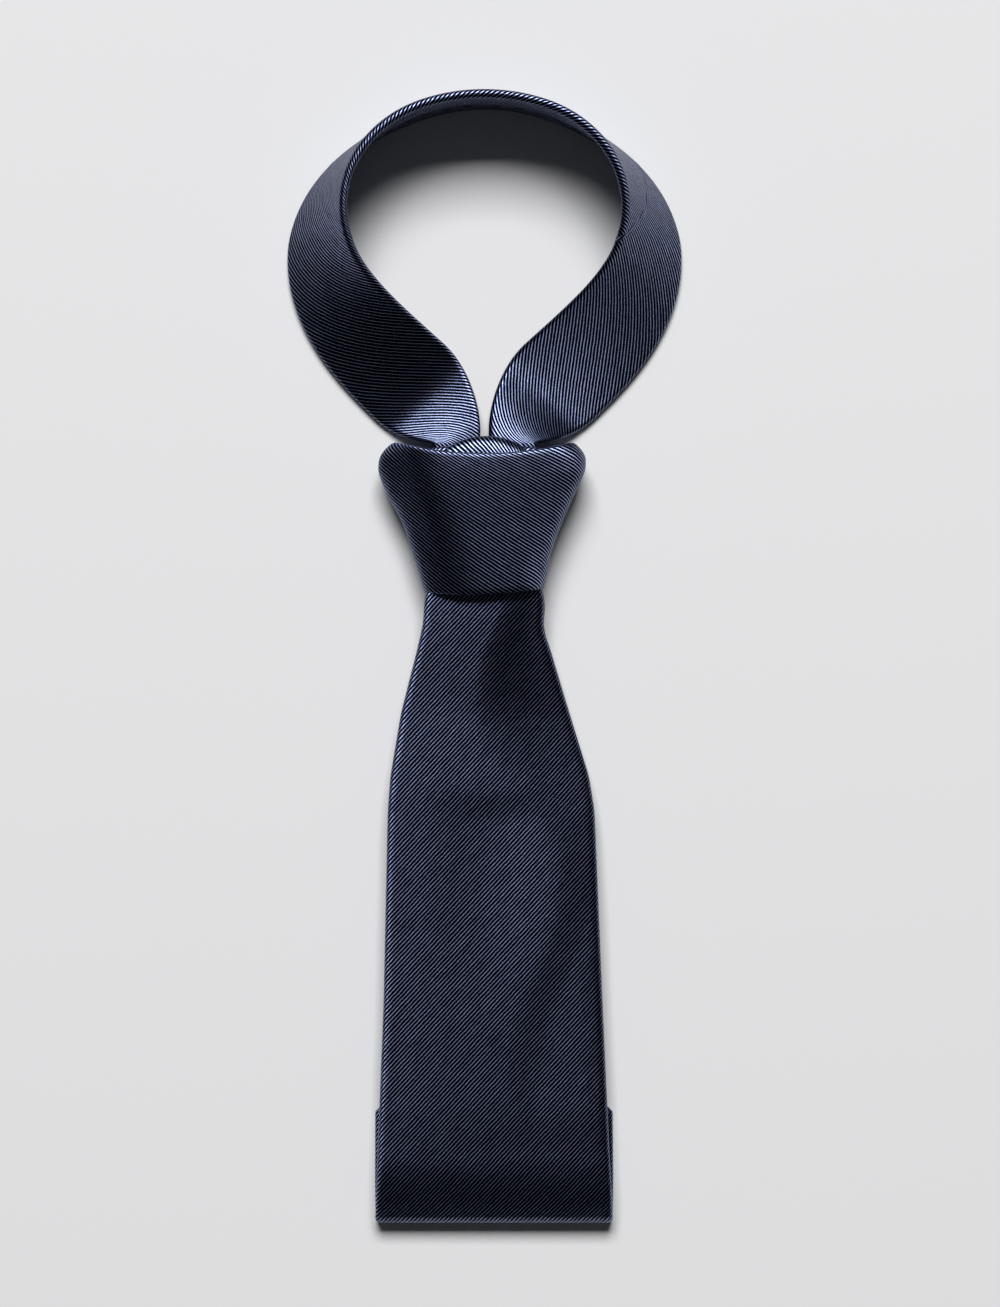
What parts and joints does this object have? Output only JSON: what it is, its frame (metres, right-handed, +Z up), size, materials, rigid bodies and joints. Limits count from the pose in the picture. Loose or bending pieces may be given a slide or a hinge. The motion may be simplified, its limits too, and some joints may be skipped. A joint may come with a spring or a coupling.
{
  "type": "necktie",
  "caption": "Navy twill necktie tied in a Windsor knot and laid flat, with a neck loop, a front blade whose end folds under, and a short tail.",
  "frame": {"origin": "middle of the footprint, on the surface the tie lies on", "axes": "+X across the tie to its right as seen face up, +Y from the bottom fold to the neck loop, +Z up from the surface through the face"},
  "size_m": [0.1374, 0.392, 0.036],
  "materials": {
    "navy_twill": "ribbed silk twill with a soft sheen",
    "wool_interlining": "brushed wool interlining",
    "lining_satin": "smooth lining satin",
    "navy_thread": "twisted sewing thread",
    "label_satin": "plain woven satin, blank"
  },
  "bodies": {
    "neck_loop": {"neck_shell": "navy_twill", "blade_side_band_shell": "navy_twill", "tail_side_band_shell": "navy_twill", "neck_interlining": "wool_interlining", "left_join_seam": "navy_thread", "right_join_seam": "navy_thread", "neck_slip_stitch": "navy_thread", "tail_knot_pass": "navy_twill"},
    "tail": {"tail_shell": "navy_twill", "tail_interlining": "wool_interlining", "tail_tipping": "lining_satin", "tail_slip_stitch": "navy_thread", "tail_bar_tack": "navy_thread"},
    "knot": {"knot_front_wrap": "navy_twill", "knot_back_wrap": "navy_twill", "knot_interlining": "wool_interlining", "knot_left_wrap": "navy_twill", "knot_right_wrap": "navy_twill", "knot_centre_pass": "navy_twill"},
    "blade": {"blade_shell": "navy_twill", "blade_interlining": "wool_interlining", "blade_slip_stitch": "navy_thread", "keeper_loop": "navy_twill", "keeper_tacks": "navy_thread", "blank_label": "label_satin"},
    "fold": {"fold_shell": "navy_twill", "fold_interlining": "wool_interlining", "fold_slip_stitch": "navy_thread"},
    "blade_end": {"blade_end_shell": "navy_twill", "blade_end_interlining": "wool_interlining", "blade_tipping": "lining_satin", "blade_end_slip_stitch": "navy_thread", "blade_bar_tack": "navy_thread", "care_tag": "label_satin"}
  },
  "joints": [
    {"name": "knot_slide", "type": "slide", "parent": "neck_loop", "child": "knot", "axis": [0, -1, 0], "range_m": [0, 0.025]},
    {"name": "tail_sway", "type": "hinge", "parent": "neck_loop", "child": "tail", "pos_m": [0, 0.02, 0.005], "axis": [0, 0, 1], "range_deg": [-5, 5]},
    {"name": "blade_lift", "type": "hinge", "parent": "knot", "child": "blade", "pos_m": [0, 0.0223, 0.0166], "axis": [-1, 0, 0], "range_deg": [0, 90]},
    {"name": "fold_relax", "type": "hinge", "parent": "blade", "child": "fold", "pos_m": [0, -0.18271, 0.01254], "axis": [-1, 0, 0], "range_deg": [0, 28]},
    {"name": "end_unfold", "type": "hinge", "parent": "fold", "child": "blade_end", "pos_m": [0, -0.19544, 0.00378], "axis": [-1, 0, 0], "range_deg": [0, 146]}
  ],
  "couplings": [
    {"joint": "fold_relax", "follows": "end_unfold", "ratio": 0.19178}
  ]
}
